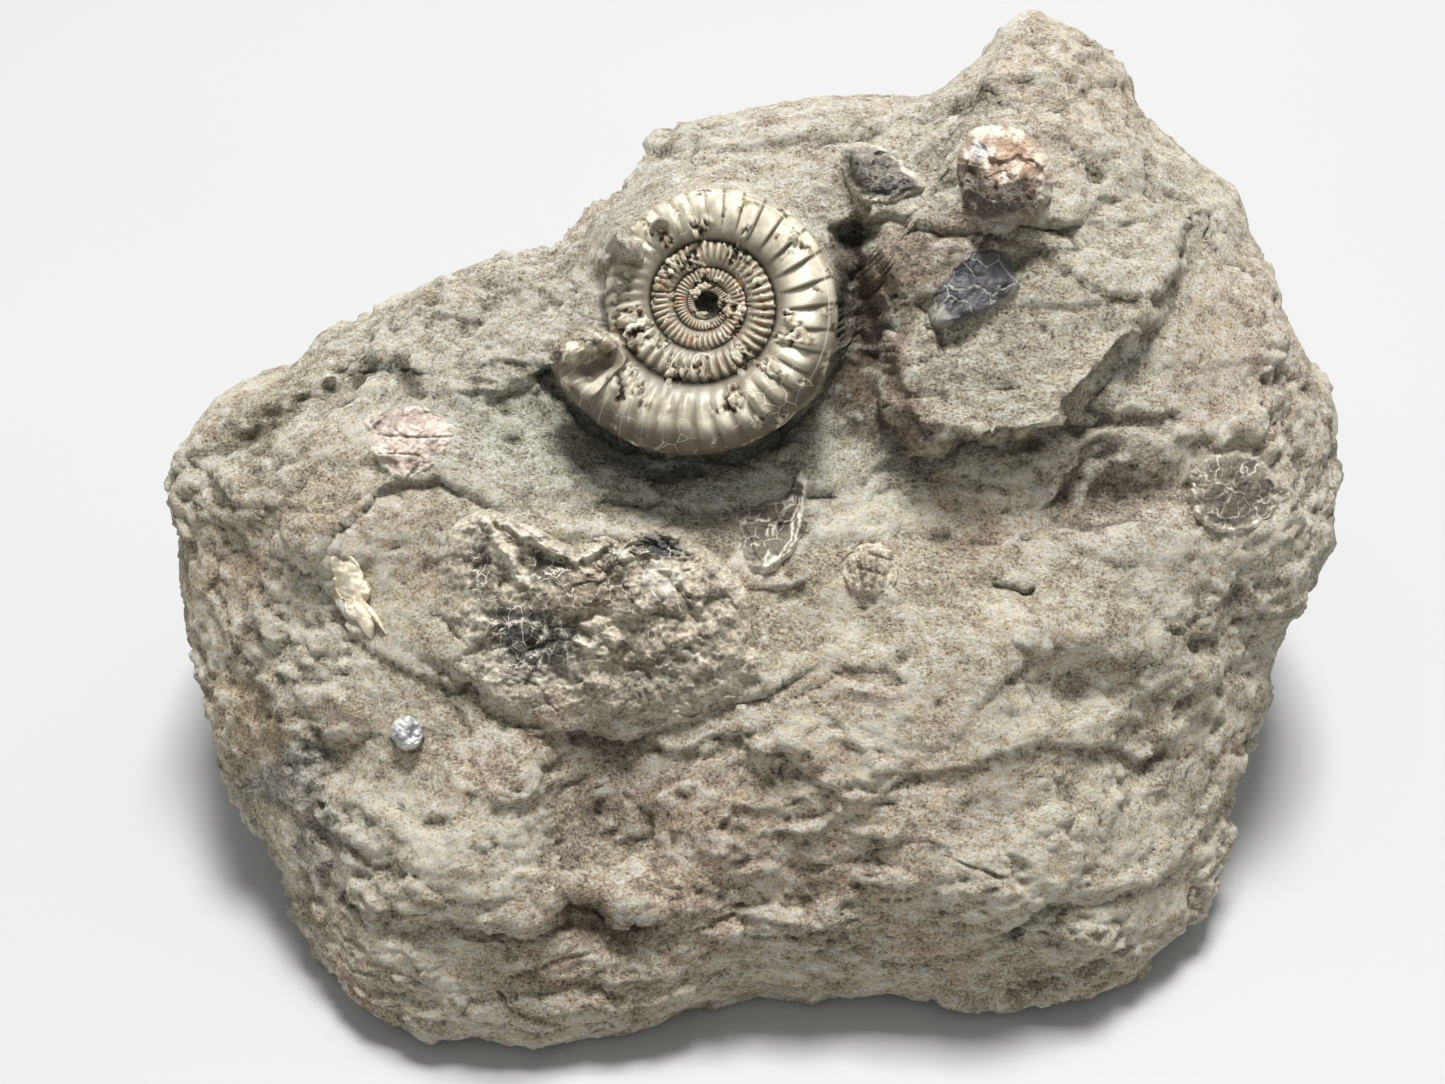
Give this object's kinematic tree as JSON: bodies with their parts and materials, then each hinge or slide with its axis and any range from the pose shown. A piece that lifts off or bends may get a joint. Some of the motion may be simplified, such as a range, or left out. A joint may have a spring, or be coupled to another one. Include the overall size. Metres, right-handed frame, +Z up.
{
  "type": "ammonite fossil in limestone matrix",
  "caption": "Ribbed coiled ammonite fossil standing proud of a natural grey-cream limestone block, with shell fragments and crystals in its face.",
  "frame": {"origin": "middle of the footprint of the block, on the flat break it rests on", "axes": "+Z up, +X to the right along the face's length, -Y towards the viewer of the leaning fossil face"},
  "size_m": [0.1316, 0.1002, 0.0788],
  "materials": {
    "matrix": "granular cream and olive-grey limestone, dull",
    "ammonite": "fine grey-gold pyrite and calcite shell, slightly satin, with rust specks in its seams",
    "infill": "rough hardened sediment",
    "dark_shell": "dark brown-grey calcite shell with white cracks, satin",
    "slate_calcite": "slate-grey calcite flake with fine white cracks",
    "pink_calcite": "pinkish sugary crystal lump",
    "white_crystal": "translucent bluish-white crystal",
    "pale_shell": "cream and pinkish-white thin shell"
  },
  "bodies": {
    "root": {"matrix_block": "matrix", "ammonite_shell": "ammonite", "mouth_infill": "infill", "large_shell_fragment": "dark_shell", "upright_shell_fragment": "dark_shell", "round_shell": "dark_shell", "crystalline_lump": "pink_calcite", "slate_grey_flake": "slate_calcite", "dark_facet_fragment": "slate_calcite", "calcite_crystal": "white_crystal", "cream_shell_sliver": "pale_shell", "pale_shell_flake": "pale_shell", "small_ribbed_fossil": "pale_shell"}
  },
  "joints": []
}
